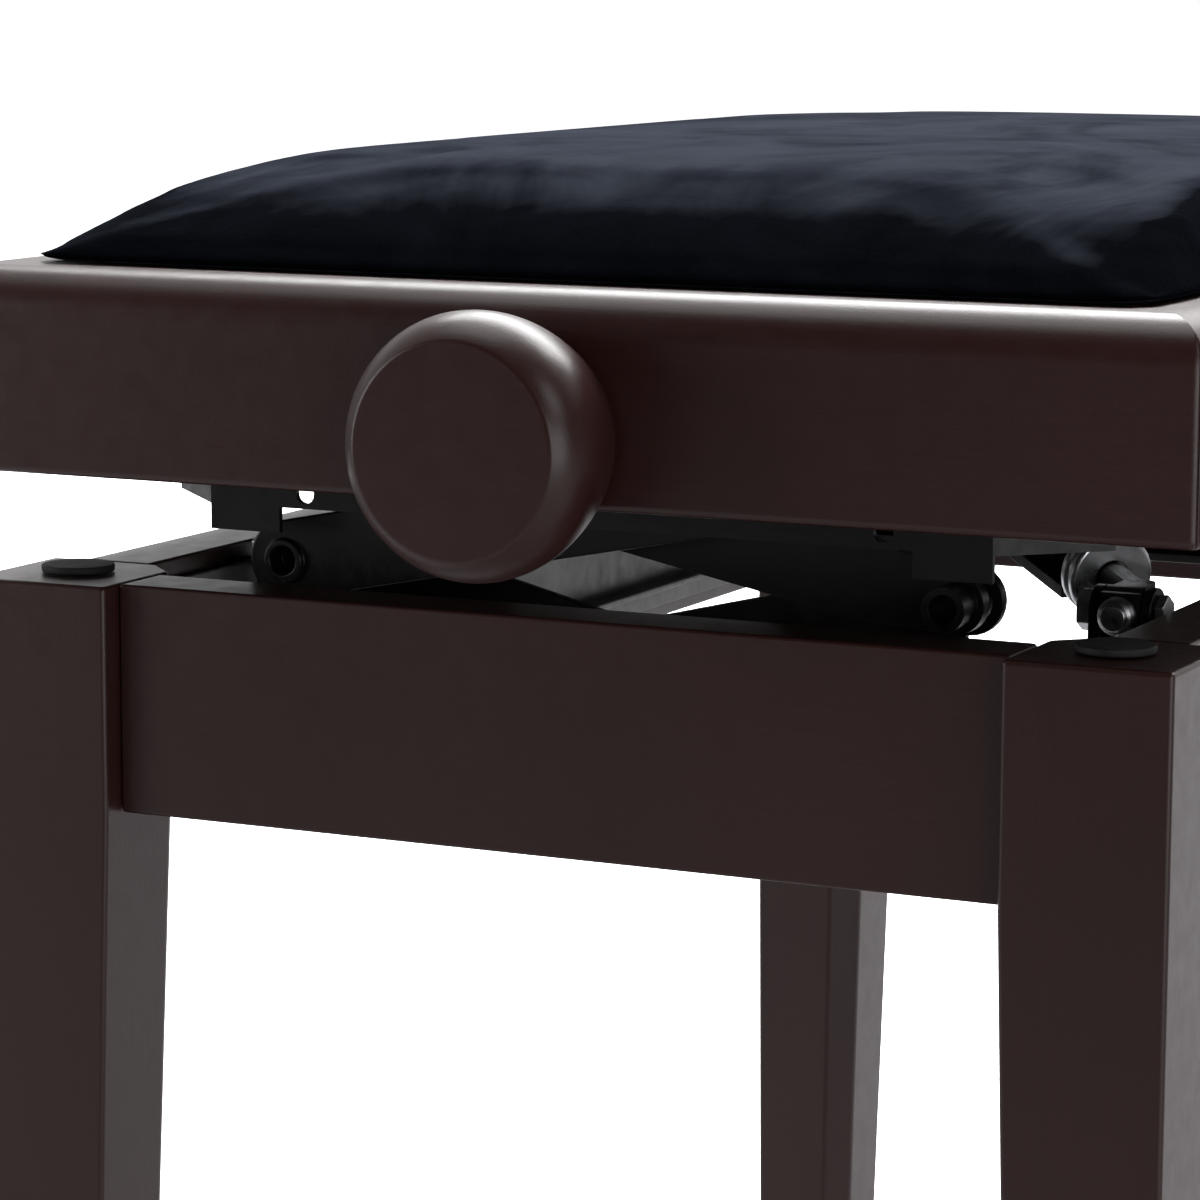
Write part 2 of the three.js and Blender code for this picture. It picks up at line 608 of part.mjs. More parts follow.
// Turned knob, bored from behind for the end of the screw.
function knob() {
  const bore = SCREW_RADIUS + HOLE_PLAY;
  const depth = SCREW_HALF_LENGTH - SEAT_LENGTH / 2 - ROSETTE_THICK - 2 * GAP + 1;
  const round = KNOB_RADIUS - KNOB_FACE_RADIUS;
  const profile = [[0, depth], [bore, depth], [bore, 0], [KNOB_RADIUS - 4.2, 0]];
  profile.push([KNOB_RADIUS - 3.4, 1], [KNOB_RADIUS - 0.6, KNOB_LENGTH - 2 * round - 3]);
  const steps = 5;
  for (let i = 0; i <= steps; i += 1) {
    const angle = i / steps * Math.PI / 2;
    profile.push([KNOB_FACE_RADIUS + round * Math.cos(angle),
      KNOB_LENGTH - 2 * round + 2 * round * Math.sin(angle)]);
  }
  profile.push([0, KNOB_LENGTH]);
  return turned('x', profile, [SEAT_LENGTH / 2 + ROSETTE_THICK + 2 * GAP, 0, SCREW_Z], 36);
}

// Flanged bush in the end rail, which the screw turns in.
function bush() {
  const bore = SCREW_RADIUS + HOLE_PLAY;
  const profile = [[bore, -RAIL_THICK - 2], [BUSH_RADIUS, -RAIL_THICK - 2], [BUSH_RADIUS, 0],
    [ROSETTE_RADIUS, 0], [ROSETTE_RADIUS, ROSETTE_THICK * 0.6],
    [ROSETTE_RADIUS - 1, ROSETTE_THICK], [bore, ROSETTE_THICK], [bore, -RAIL_THICK - 2]];
  return turned('x', profile, [SEAT_LENGTH / 2 + GAP, 0, SCREW_Z]);
}

function buildDrive() {
  const screw = rod('x', SCREW_RADIUS, 2 * SCREW_HALF_LENGTH, [0, 0, SCREW_Z]);
  place('lift_screw', screw, ZINC);
  place('screw_nut', screwNut(), ZINC);
  for (const [end, sx] of ENDS) {
    place(`knob_${end}`, mirrored(knob(), sx, 1), LACQUERED_WOOD);
    place(`bush_${end}`, mirrored(bush(), sx, 1), LACQUERED_WOOD);
  }
}

// ---------------------------------------------------------------- seat: steel upper frame

const FLANGE_BOTTOM = LEG_TOP + 18.4;
const FLANGE_TOP = SEAT_TOP - BOARD_THICK - GAP;
const FLANGE_DEPTH = 24;               // how far the top flange reaches inwards
const FLANGE_OUTER = SLOT_OUTER + 10;
const FLANGE_EAR = [84, 103.6];        // small ear near each end
const FLANGE_EAR_BOTTOM = LEG_TOP + 12;
const FLANGE_HOLE = { y: 76.7, z: LEG_TOP + 22.2, radius: 2.5 };
const ARM_CLEAR_Z = SHAFT_Z - 12;      // the web outside the ears stays above this height
const WING_RUN = 22;                   // the wing leans back as far as it reaches out
const SLOT_PLAY = 1.8;

// Slot with round ends, cut through the end angle for an upper shaft.
function shaftSlot(sy) {
  const radius = SHAFT_RADIUS + SLOT_PLAY;
  const ends = [SLOT_INNER, SLOT_OUTER].map((y) => (
    rod('x', radius, 40, [UPPER_FLANGE_X, sy * y, SHAFT_Z])
  ));
  const middle = block([UPPER_FLANGE_X - 20, UPPER_FLANGE_X + 20],
    [sy * SLOT_INNER, sy * SLOT_OUTER], [SHAFT_Z - radius, SHAFT_Z + radius]);
  return join(middle, ...ends);
}

// Short wing folded back by 45 degrees from the outer edge of an ear.
function foldedWing() {
  const outer = UPPER_FLANGE_X + UPPER_SHEET;
  const fold = FLANGE_EAR[1];
  const tip = [outer - WING_RUN, fold + WING_RUN];
  const inset = UPPER_SHEET * Math.SQRT1_2;
  const plan = outline([
    [UPPER_FLANGE_X, fold - 2], [outer, fold - 2], [outer, fold], tip,
    [tip[0] - inset, tip[1] - inset], [UPPER_FLANGE_X, fold - UPPER_SHEET * (Math.SQRT2 - 1)],
  ]);
  return plateFlat(plan, FLANGE_BOTTOM, ARM_CLEAR_Z - 2 * GAP);
}

// End angle under the seat board: the upper shafts slide in its slots, the screw runs through
// its middle, and a small ear hangs down near each end.
function upperEndAngle() {
  const [earIn, earOut] = FLANGE_EAR;
  const right = [[FLANGE_OUTER, FLANGE_TOP], [FLANGE_OUTER, ARM_CLEAR_Z], [earOut, ARM_CLEAR_Z],
    [earOut, FLANGE_EAR_BOTTOM], [earIn, FLANGE_EAR_BOTTOM], [earIn, FLANGE_BOTTOM]];
  const left = right.map(([y, z]) => [-y, z]).reverse();
  const sheet = [UPPER_FLANGE_X, UPPER_FLANGE_X + UPPER_SHEET];
  const openings = [rod('x', SCREW_RADIUS + 1, 40, [UPPER_FLANGE_X, 0, SCREW_Z])];
  for (const [, sy] of SIDES) {
    const { y, z, radius } = FLANGE_HOLE;
    openings.push(shaftSlot(sy), rod('x', radius, 40, [UPPER_FLANGE_X, sy * y, z], 24));
  }
  const web = cut(plateAcross(outline([...right, ...left]), ...sheet), ...openings);
  const flange = block([UPPER_FLANGE_X - FLANGE_DEPTH, UPPER_FLANGE_X + 1],
    [-FLANGE_OUTER, FLANGE_OUTER], [FLANGE_TOP - SHEET, FLANGE_TOP]);
  return join(web, flange, foldedWing(), mirrored(foldedWing(), 1, -1));
}

// Side angle under the seat board, joining the two end angles.
const SIDE_ANGLE_INNER = SLOT_OUTER - 8;
const SIDE_ANGLE_WIDTH = 18;
const SIDE_ANGLE_DROP = 16;

function upperSideAngle() {
  const half = UPPER_FLANGE_X - FLANGE_DEPTH - GAP;
  const outer = SIDE_ANGLE_INNER + SIDE_ANGLE_WIDTH;
  const flat = block([-half, half], [SIDE_ANGLE_INNER, outer], [FLANGE_TOP - SHEET, FLANGE_TOP]);
  const lip = block([-half, half], [outer - SHEET, outer],
    [FLANGE_TOP - SIDE_ANGLE_DROP, FLANGE_TOP]);
  return join(flat, lip);
}

function buildUpperFrame() {
  for (const [end, sx] of ENDS) {
    place(`upper_angle_${end}`, mirrored(upperEndAngle(), sx, 1), BLACK_STEEL);
  }
  for (const [side, sy] of SIDES) {
    place(`upper_side_angle_${side}`, mirrored(upperSideAngle(), 1, sy), BLACK_STEEL);
  }
}

// ---------------------------------------------------------------- seat: frame, board, cushion

// Section of a rail: outer face at 0, inner face at -RAIL_THICK, large round on the outer top
// edge and a small one along the bottom.
function railSection() {
  const shape = new THREE.Shape();
  shape.moveTo(-RAIL_THICK, 0);
  shape.lineTo(-RAIL_EDGE_ROUND, 0);
  shape.absarc(-RAIL_EDGE_ROUND, RAIL_EDGE_ROUND, RAIL_EDGE_ROUND, -Math.PI / 2, 0, false);
  shape.lineTo(0, RAIL_HEIGHT - RAIL_TOP_ROUND);
  shape.absarc(-RAIL_TOP_ROUND, RAIL_HEIGHT - RAIL_TOP_ROUND, RAIL_TOP_ROUND, 0, Math.PI / 2, false);
  shape.lineTo(-RAIL_THICK, RAIL_HEIGHT);
  shape.closePath();
  return shape;
}

// A rail along Y at the +X side, its ends cut to a mitre of 45 degrees.
function mitredRail(outerFace, outerHalfLength) {
  const geometry = new THREE.ExtrudeGeometry(railSection(), {
    depth: 2 * outerHalfLength, bevelEnabled: false, curveSegments: 10,
  });
  geometry.translate(0, 0, -outerHalfLength);
  geometry.rotateX(Math.PI / 2);
  geometry.translate(outerFace, 0, SEAT_BOTTOM);
  const innerHalf = outerHalfLength - RAIL_THICK - 1;
  const mitre = GAP * 0.7;
  const plan = outline([
    [outerFace + 1, -outerHalfLength - 1 + mitre],
    [outerFace + 1, outerHalfLength + 1 - mitre],
    [outerFace - RAIL_THICK - 1, innerHalf - mitre],
    [outerFace - RAIL_THICK - 1, -innerHalf + mitre],
  ]);
  return solid(geometry).intersect(plateFlat(plan, SEAT_BOTTOM - 1, SEAT_TOP + 1));
}

function seatBoard() {
  const x = SEAT_LENGTH / 2 - RAIL_THICK - GAP;
  const y = SEAT_WIDTH / 2 - RAIL_THICK - GAP;
  return block([-x, x], [-y, y], [SEAT_TOP - BOARD_THICK, SEAT_TOP]);
}

function roundedRectangle(halfX, halfY, radius) {
  const shape = new THREE.Shape();
  shape.absarc(halfX - radius, halfY - radius, radius, 0, Math.PI / 2, false);
  shape.absarc(radius - halfX, halfY - radius, radius, Math.PI / 2, Math.PI, false);
  shape.absarc(radius - halfX, radius - halfY, radius, Math.PI, 1.5 * Math.PI, false);
  shape.absarc(halfX - radius, radius - halfY, radius, 1.5 * Math.PI, 2 * Math.PI, false);
  return shape;
}

// Padded top: a pillow form, flat below and rounded over its edges.
function cushion() {
  const halfX = SEAT_LENGTH / 2 - CUSHION_INSET;
  const halfY = SEAT_WIDTH / 2 - CUSHION_INSET;
  const cornerRadius = 8;
  const shape = roundedRectangle(halfX - CUSHION_SHOULDER, halfY - CUSHION_SHOULDER, cornerRadius);
  const geometry = new THREE.ExtrudeGeometry(shape, {
    depth: 0.5, bevelEnabled: true, bevelThickness: CUSHION_HEIGHT - 0.5,
    bevelSize: CUSHION_SHOULDER, bevelSegments: 4, curveSegments: 3,
  });
  const whole = solid(geometry.translate(0, 0, SEAT_TOP + GAP));
  const upperHalf = block([-halfX - 9, halfX + 9], [-halfY - 9, halfY + 9],
    [SEAT_TOP + GAP, SEAT_TOP + 2 * CUSHION_HEIGHT]);
  return whole.intersect(upperHalf);
}

function buildSeat() {
  const bushHole = rod('x', BUSH_RADIUS + 2 * GAP, 80, [SEAT_LENGTH / 2, 0, SCREW_Z]);
  const endRail = cut(mitredRail(SEAT_LENGTH / 2, SEAT_WIDTH / 2), bushHole);
  const sideRailBody = mitredRail(SEAT_WIDTH / 2, SEAT_LENGTH / 2).rotate([0, 0, 90]);
  for (const [end, sx] of ENDS) {
    place(`seat_rail_${end}`, mirrored(endRail, sx, 1), LACQUERED_WOOD);
  }
  for (const [side, sy] of SIDES) {
    place(`seat_rail_${side}`, mirrored(sideRailBody, 1, sy), LACQUERED_WOOD);
  }
  place('seat_board', seatBoard(), PLYWOOD);
  place('cushion', cushion(), VELVET);
}

buildBase();
buildLowerFrame();
buildSwingFrames();
buildLiftFork();
buildDrive();
buildUpperFrame();
buildSeat();

export default bench;
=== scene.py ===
import math

import bmesh
import bpy
import numpy as np
from mathutils import Matrix, Vector


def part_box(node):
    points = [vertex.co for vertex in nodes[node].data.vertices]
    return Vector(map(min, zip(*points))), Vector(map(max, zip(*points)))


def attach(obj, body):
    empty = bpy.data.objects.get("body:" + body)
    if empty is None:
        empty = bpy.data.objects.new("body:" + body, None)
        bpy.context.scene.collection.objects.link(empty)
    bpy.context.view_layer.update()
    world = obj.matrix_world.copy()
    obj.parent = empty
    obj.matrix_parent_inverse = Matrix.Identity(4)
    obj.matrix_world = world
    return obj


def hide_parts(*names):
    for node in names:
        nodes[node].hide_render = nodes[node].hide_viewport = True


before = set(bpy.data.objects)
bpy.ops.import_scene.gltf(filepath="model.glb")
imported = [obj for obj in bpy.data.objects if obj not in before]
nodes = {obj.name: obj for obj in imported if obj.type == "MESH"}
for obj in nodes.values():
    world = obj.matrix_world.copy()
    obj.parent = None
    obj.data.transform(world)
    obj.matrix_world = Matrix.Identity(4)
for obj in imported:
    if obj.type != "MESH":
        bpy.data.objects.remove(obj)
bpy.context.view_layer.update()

# Height-adjustable piano bench: satin brown lacquer, black velvet pad, steel lift.
# Metres, +X along the bench, +Y across it, origin on the floor under the middle.

MM = 0.001
ENDS = (("left", -1), ("right", 1))
SIDES = (("front", -1), ("back", 1))

# ---------------------------------------------------------------- camera

# Heading is from +X towards +Y, tilt is up from level, roll is about the view. All in radians.
CAMERA_PLACE = (-1.13387, -0.43342, 0.54386)
CAMERA_HEADING = 0.4469
CAMERA_TILT = -0.1523
CAMERA_ROLL = 0.0042
CAMERA_LENS = 126.04
CAMERA_SENSOR = 36.0
CAMERA_CLIP_START = 0.05


def make_camera():
    """The photographer's place: close to the left end, a little above the seat frame."""
    flat = math.cos(CAMERA_TILT)
    forward = Vector((math.cos(CAMERA_HEADING) * flat, math.sin(CAMERA_HEADING) * flat,
                      math.sin(CAMERA_TILT)))
    level = Vector((math.sin(CAMERA_HEADING), -math.cos(CAMERA_HEADING), 0))
    upright = level.cross(forward)
    cos, sin = math.cos(CAMERA_ROLL), math.sin(CAMERA_ROLL)
    right = cos * level + sin * upright
    up = -sin * level + cos * upright
    data = bpy.data.cameras.new("camera")
    data.lens = CAMERA_LENS
    data.sensor_width = CAMERA_SENSOR
    data.clip_start = CAMERA_CLIP_START
    camera = bpy.data.objects.new("camera", data)
    bpy.context.scene.collection.objects.link(camera)
    turn = Matrix((right, up, -forward)).transposed().to_4x4()
    camera.matrix_world = Matrix.Translation(CAMERA_PLACE) @ turn
    bpy.context.scene.camera = camera


# ---------------------------------------------------------------- shading helpers


class Finish:
    """One procedural material, with short calls for the nodes that it is made of."""

    def __init__(self, name):
        self.material = bpy.data.materials.new(name)
        self.material.use_nodes = True
        self.tree = self.material.node_tree
        self.shader = self.tree.nodes["Principled BSDF"]
        self.place = self.tree.nodes.new("ShaderNodeTexCoord").outputs["Object"]

    def set(self, **values):
        """Shader sockets by name, with _ for a space."""
        for key, value in values.items():
            socket = self.shader.inputs[key.replace("_", " ")]
            if isinstance(value, bpy.types.NodeSocket):
                self.tree.links.new(value, socket)
            else:
                socket.default_value = value

    def add(self, kind, inputs, **settings):
        """A new node. inputs are values or sockets to link, settings are the node's own."""
        node = self.tree.nodes.new(kind)
        for key, value in settings.items():
            setattr(node, key, value)
        for key, value in inputs.items():
            if isinstance(value, bpy.types.NodeSocket):
                self.tree.links.new(value, node.inputs[key])
            else:
                node.inputs[key].default_value = value
        return node

    def stretched(self, stretch):
        return self.add("ShaderNodeMapping", {"Vector": self.place,
                                              "Scale": stretch}).outputs[0]

    def noise(self, scale, detail=3.0, roughness=0.5, stretch=(1, 1, 1), distortion=0.0):
        return self.add("ShaderNodeTexNoise", {
            "Vector": self.stretched(stretch), "Scale": scale, "Detail": detail,
            "Roughness": roughness, "Distortion": distortion}).outputs["Fac"]

    def spread(self, value, low, high, to_low=0.0, to_high=1.0):
        """Maps low..high of value to to_low..to_high, held at both ends."""
        return self.add("ShaderNodeMapRange", {
            "Value": value, "From Min": low, "From Max": high,
            "To Min": to_low, "To Max": to_high}).outputs[0]

    def blend(self, amount, first, second):
        """Colour from first to second. The numbers are the Mix node's colour sockets."""
        node = self.add("ShaderNodeMix", {0: amount, 6: first, 7: second}, data_type="RGBA")
        return node.outputs[2]

    def maths(self, operation, first, second):
        return self.add("ShaderNodeMath", {0: first, 1: second}, operation=operation).outputs[0]

    def bump(self, height, strength, distance, under=None):
        """Relief from a height, on top of the relief under it."""
        inputs = {"Height": height, "Strength": strength, "Distance": distance}
        if under is not None:
            inputs["Normal"] = under
        return self.add("ShaderNodeBump", inputs).outputs[0]


def colour(red, green, blue):
    return (red, green, blue, 1.0)


GRAIN_LENGTH = 0.04
GRAIN_STRETCH = {"x": (GRAIN_LENGTH, 1, 1), "y": (1, GRAIN_LENGTH, 1), "z": (1, 1, GRAIN_LENGTH)}
LACQUER_DARK = colour(0.0225, 0.0070, 0.0062)
LACQUER_LIGHT = colour(0.0310, 0.0104, 0.0092)


def lacquered_wood(axis):
    """Opaque satin lacquer over close-grained wood, the grain along one axis."""
    finish = Finish("lacquered_wood_" + axis)
    stretch = GRAIN_STRETCH[axis]
    cloud = finish.noise(9, 2)
    grain = finish.noise(900, 4, 0.6, stretch)
    pores = finish.noise(2600, 2, 0.5, stretch)
    spray = finish.noise(1500, 1)
    tone = finish.spread(finish.maths("ADD", cloud, finish.maths("MULTIPLY", grain, 0.5)),
                         0.5, 1.0)
    finish.set(
        Base_Color=finish.blend(tone, LACQUER_DARK, LACQUER_LIGHT),
        Roughness=finish.spread(finish.noise(160, 3), 0.3, 0.7, 0.31, 0.37),
        Specular_IOR_Level=0.36,
    )
    waves = finish.bump(spray, 0.10, 0.0002)
    lines = finish.bump(grain, 0.06, 0.0003, waves)
    finish.set(Normal=finish.bump(finish.spread(pores, 0.60, 0.72), 0.04, 0.0002, lines))
    return finish.material


# Painted sheen: the pile is nearly black on slopes, and its colour is painted lighter where the
# cover lies flat, standing in for the sheen that grazing light gives the top.
SLOPE_DARK = colour(0.0006, 0.0007, 0.0011)
SLOPE_LIGHT = colour(0.0022, 0.0025, 0.0038)
PAINTED_SHEEN_DARK = colour(0.020, 0.023, 0.031)
PAINTED_SHEEN_LIGHT = colour(0.034, 0.039, 0.051)
PILE_TIPS = colour(0.010, 0.012, 0.016)
PILE_TIPS_SHARE = 0.12
SHEEN_TINT = colour(0.66, 0.76, 1.0)
PAINTED_SHEEN_FROM_NORMAL = 0.955                    # upward part of the normal where the slope tone ends
NAP_SHIFT = 0.012                       # how far the nap moves that border


def velvet():
    """Blue-black velvet, mottled by its brushed nap, with painted sheen: a lighter colour where
    the cover lies flat.
    """
    finish = Finish("velvet")
    brushed = finish.noise(14, 4, 0.6, (0.6, 1.0, 1.6), 1.6)
    patches = finish.noise(38, 3, 0.55, (1, 1, 1), 0.8)
    pile = finish.noise(1700, 2, 0.6)
    nap = finish.maths("ADD", finish.maths("MULTIPLY", brushed, 0.7),
                       finish.maths("MULTIPLY", patches, 0.3))
    tone = finish.spread(nap, 0.38, 0.64)
    slope = finish.blend(tone, SLOPE_DARK, SLOPE_LIGHT)
    # Painted sheen: a lighter tone for the flat top, standing in for the sheen of grazing light.
    painted_sheen_tone = finish.blend(tone, PAINTED_SHEEN_DARK, PAINTED_SHEEN_LIGHT)
    upward = finish.add("ShaderNodeSeparateXYZ", {
        "Vector": finish.add("ShaderNodeNewGeometry", {}).outputs["Normal"]}).outputs["Z"]
    # Painted sheen: the colour turns to the lighter tone where the normal points up, the nap
    # shifting that border a little.
    flat_for_painted_sheen = finish.maths("ADD", upward, finish.spread(nap, 0.35, 0.65, -NAP_SHIFT, NAP_SHIFT))
    cover = finish.blend(finish.spread(flat_for_painted_sheen, PAINTED_SHEEN_FROM_NORMAL, 1.0), slope, painted_sheen_tone)
    tips = finish.spread(pile, 0.45, 0.75)
    finish.set(
        Base_Color=finish.blend(finish.maths("MULTIPLY", tips, PILE_TIPS_SHARE), cover,
                                PILE_TIPS),
        Roughness=finish.spread(nap, 0.35, 0.65, 0.95, 0.78),
        Specular_IOR_Level=0.0,
        Sheen_Weight=0.04,
        Sheen_Roughness=0.25,
        Sheen_Tint=SHEEN_TINT,
    )
    tufts = finish.bump(pile, 0.35, 0.0004)
    finish.set(Normal=finish.bump(nap, 0.35, 0.004, tufts))
    return finish.material


def painted_steel(name, dark, light, rough, shine):
    """Powder-coated steel with a fine orange-peel surface."""
    finish = Finish(name)
    peel = finish.noise(700, 2)
    dust = finish.noise(60, 4, 0.65)
    finish.set(
        Base_Color=finish.blend(finish.spread(dust, 0.35, 0.7), dark, light),
        Roughness=finish.spread(finish.noise(220, 3), 0.3, 0.7, rough - 0.05, rough + 0.07),
        Specular_IOR_Level=shine,
        Normal=finish.bump(peel, 0.12, 0.0004),
    )
    return finish.material


def plated_steel(name, dark, light, rough):
    """Bright plating with a faint grain and dulled patches."""
    finish = Finish(name)
    grain = finish.noise(420, 3, 0.6)
    patches = finish.noise(90, 4, 0.6)
    finish.set(
        Metallic=1.0,
        Base_Color=finish.blend(finish.spread(patches, 0.35, 0.65), dark, light),
        Roughness=finish.spread(patches, 0.3, 0.7, rough - 0.05, rough + 0.10),
        Normal=finish.bump(grain, 0.08, 0.0003),
    )
    return finish.material


def rubber():
    """Matt black rubber, a little scuffed."""
    finish = Finish("rubber")
    grains = finish.noise(1300, 2)
    wear = finish.noise(150, 3)
    finish.set(
        Base_Color=finish.blend(finish.spread(wear, 0.35, 0.7), colour(0.010, 0.009, 0.009),
                                colour(0.022, 0.020, 0.020)),
        Roughness=finish.spread(wear, 0.3, 0.7, 0.62, 0.75),
        Specular_IOR_Level=0.4,
        Normal=finish.bump(grains, 0.2, 0.0003),
    )
    return finish.material


def plywood():
    """Plywood stained dark: long grain on the faces and thin dark glue lines round the edge."""
    finish = Finish("plywood")
    grain = finish.noise(70, 5, 0.65, (0.06, 1, 1), 0.4)
    rings = finish.add("ShaderNodeTexWave", {"Vector": finish.stretched((0.3, 2.2, 1)),
                                             "Scale": 12.0, "Distortion": 9.0, "Detail": 3.0,
                                             "Detail Scale": 1.2}).outputs["Fac"]
    plies = finish.add("ShaderNodeTexWave", {"Vector": finish.place, "Scale": 160.0},
                       bands_direction="Z").outputs["Fac"]
    face = finish.blend(finish.spread(grain, 0.3, 0.75), colour(0.018, 0.012, 0.010),
                        colour(0.032, 0.022, 0.018))
    ringed = finish.blend(finish.maths("MULTIPLY", rings, 0.25), face,
                          colour(0.012, 0.008, 0.006))
    finish.set(
        Base_Color=finish.blend(finish.spread(plies, 0.9, 1.0, 0.0, 0.35), ringed,
                                colour(0.050, 0.035, 0.026)),
        Roughness=finish.spread(grain, 0.3, 0.7, 0.55, 0.75),
        Normal=finish.bump(grain, 0.25, 0.0006),
    )
    return finish.material


WOOD = {axis: lacquered_wood(axis) for axis in "xyz"}
VELVET = velvet()
BLACK_STEEL = painted_steel("black_steel", colour(0.0020, 0.0021, 0.0019),
                            colour(0.0046, 0.0048, 0.0043), 0.36, 0.28)
GREY_STEEL = painted_steel("grey_steel", colour(0.070, 0.068, 0.066),
                           colour(0.115, 0.112, 0.108), 0.42, 0.5)
ZINC = plated_steel("zinc_steel", colour(0.42, 0.43, 0.44), colour(0.62, 0.63, 0.65), 0.28)
RUBBER = rubber()
PLYWOOD = plywood()

# ---------------------------------------------------------------- mesh helpers


def add_mesh(name, points, faces):
    mesh = bpy.data.meshes.new(name)
    mesh.from_pydata([tuple(p) for p in points], [], faces)
    mesh.update()
    thing = bpy.data.objects.new(name, mesh)
    bpy.context.scene.collection.objects.link(thing)
    return thing


def paint(thing, material):
    thing.data.materials.clear()
    thing.data.materials.append(material)


def smooth(thing):
    thing.data.polygons.foreach_set("use_smooth", [True] * len(thing.data.polygons))


WELD_GAP = 1e-5
FLAT_ANGLE = math.radians(0.6)
NORMAL_WEIGHT = 50


def soften(thing, width, segments=3, angle=32):
    """Rounds every edge sharper than the angle in degrees, and shades the flats as flat."""
    smooth(thing)
    bevel = thing.modifiers.new("soft_edges", "BEVEL")
    bevel.width = width
    bevel.segments = segments
    bevel.limit_method = "ANGLE"
    bevel.angle_limit = math.radians(angle)
    bevel.miter_outer = "MITER_ARC"
    bevel.harden_normals = False
    weigh = thing.modifiers.new("even_shading", "WEIGHTED_NORMAL")
    weigh.keep_sharp = False
    weigh.weight = NORMAL_WEIGHT


def finish_node(name, material, width, segments=3):
    """A CAD node shown as it is: joined along its edges, rounded and painted."""
    thing = nodes[name]
    paint(thing, material)
    weld = thing.modifiers.new("join", "WELD")
    weld.merge_threshold = WELD_GAP
    flat = thing.modifiers.new("flat_faces", "DECIMATE")
    flat.decimate_type = "DISSOLVE"
    flat.angle_limit = FLAT_ANGLE
    soften(thing, width, segments)


# The axis itself, then the two directions across it.
AXIS_FRAMES = {
    "x": (Vector((1, 0, 0)), Vector((0, 1, 0)), Vector((0, 0, 1))),
    "y": (Vector((0, 1, 0)), Vector((0, 0, 1)), Vector((1, 0, 0))),
    "z": (Vector((0, 0, 1)), Vector((1, 0, 0)), Vector((0, 1, 0))),
}


def lathe_shell(profile, centre, directions, segments):
    """Points and faces of a turned body. profile holds (radius, distance) pairs in metres,
    from axis to axis, or a closed loop where every radius is above zero."""
    along, side, other = directions
    centre = Vector(centre)
    points, rings = [], []
    for radius, distance in profile:
        if radius == 0:
            rings.append([len(points)])
            points.append(centre + along * distance)
            continue
        ring = []
        for i in range(segments):
            turn = 2 * math.pi * i / segments
            ring.append(len(points))
            points.append(centre + along * distance
                          + (side * math.cos(turn) + other * math.sin(turn)) * radius)
        rings.append(ring)
    pairs = list(zip(rings, rings[1:]))
    if len(rings[0]) > 1 and len(rings[-1]) > 1:
        pairs.append((rings[-1], rings[0]))
    faces = []
    for first, second in pairs:
        for i in range(segments):
            j = (i + 1) % segments
            if len(first) == 1:
                faces.append((first[0], second[j], second[i]))
            elif len(second) == 1:
                faces.append((first[i], first[j], second[0]))
            else:
                faces.append((first[i], first[j], second[j], second[i]))
    return points, faces


def outward(thing):
    """Turns every closed shell so that its faces point out."""
    work = bmesh.new()
    work.from_mesh(thing.data)
    bmesh.ops.recalc_face_normals(work, faces=work.faces)
    work.to_mesh(thing.data)
    work.free()


def turned(name, profile, centre, axis, material, segments=96, edge=0.0003, facing=1):
    """A turned piece. facing -1 makes it point the other way along its axis."""
    along, side, other = AXIS_FRAMES[axis]
    points, faces = lathe_shell(profile, centre, (along * facing, side, other), segments)
    thing = add_mesh(name, points, faces)
    outward(thing)
    paint(thing, material)
    soften(thing, edge, 2)
    return thing


# ---------------------------------------------------------------- wood

LEG_EDGE = 1.3 * MM
APRON_EDGE = 0.9 * MM
RAIL_TOP_ROUND = 11 * MM
RAIL_LOW_ROUND = 2 * MM
RAIL_INNER_ROUND = 1 * MM
RAIL_CORNER = 3 * MM                    # radius of the frame's upright corners
RAIL_CORNER_STEPS = 6
MITRE_SEAM = 0.02 * MM
KNOB_FACE = 24.9 * MM
KNOB_BACK = 26.8 * MM
KNOB_BACK_EDGE = 0.6 * MM
KNOB_SHOULDER_TURN = math.radians(62)
KNOB_BODY_STEPS = 12
KNOB_SHOULDER_STEPS = 20
BUSH_BORE = 5.35 * MM
BUSH_SLEEVE = 8 * MM
BUSH_COLLAR = 1.6 * MM
BUSH_RIM = 0.6 * MM


def finish_base_wood():
    for side, _ in SIDES:
        for end, _ in ENDS:
            finish_node(f"leg_{side}_{end}", WOOD["z"], LEG_EDGE, 4)
        finish_node(f"apron_{side}", WOOD["x"], APRON_EDGE)
    for end, _ in ENDS:
        finish_node(f"apron_{end}", WOOD["y"], APRON_EDGE)


def corner_arc(centre, radius, start, end, steps):
    """Points of an arc from one angle to another, in radians."""
    return [(centre[0] + radius * math.cos(start + (end - start) * i / steps),
             centre[1] + radius * math.sin(start + (end - start) * i / steps))
            for i in range(steps + 1)]


def rail_section(thick, bottom, top):
    """Section of a seat rail as (offset from the outer face, height) pairs, anticlockwise."""
    quarter = math.pi / 2
    low, high, inner = RAIL_LOW_ROUND, RAIL_TOP_ROUND, RAIL_INNER_ROUND
    section = corner_arc((-low, bottom + low), low, -quarter, 0, 6)
    section += corner_arc((-high, top - high), high, 0, quarter, 18)
    section += corner_arc((inner - thick, top - inner), inner, quarter, 2 * quarter, 3)
    section += corner_arc((inner - thick, bottom + inner), inner, 2 * quarter, 3 * quarter, 3)
    return section


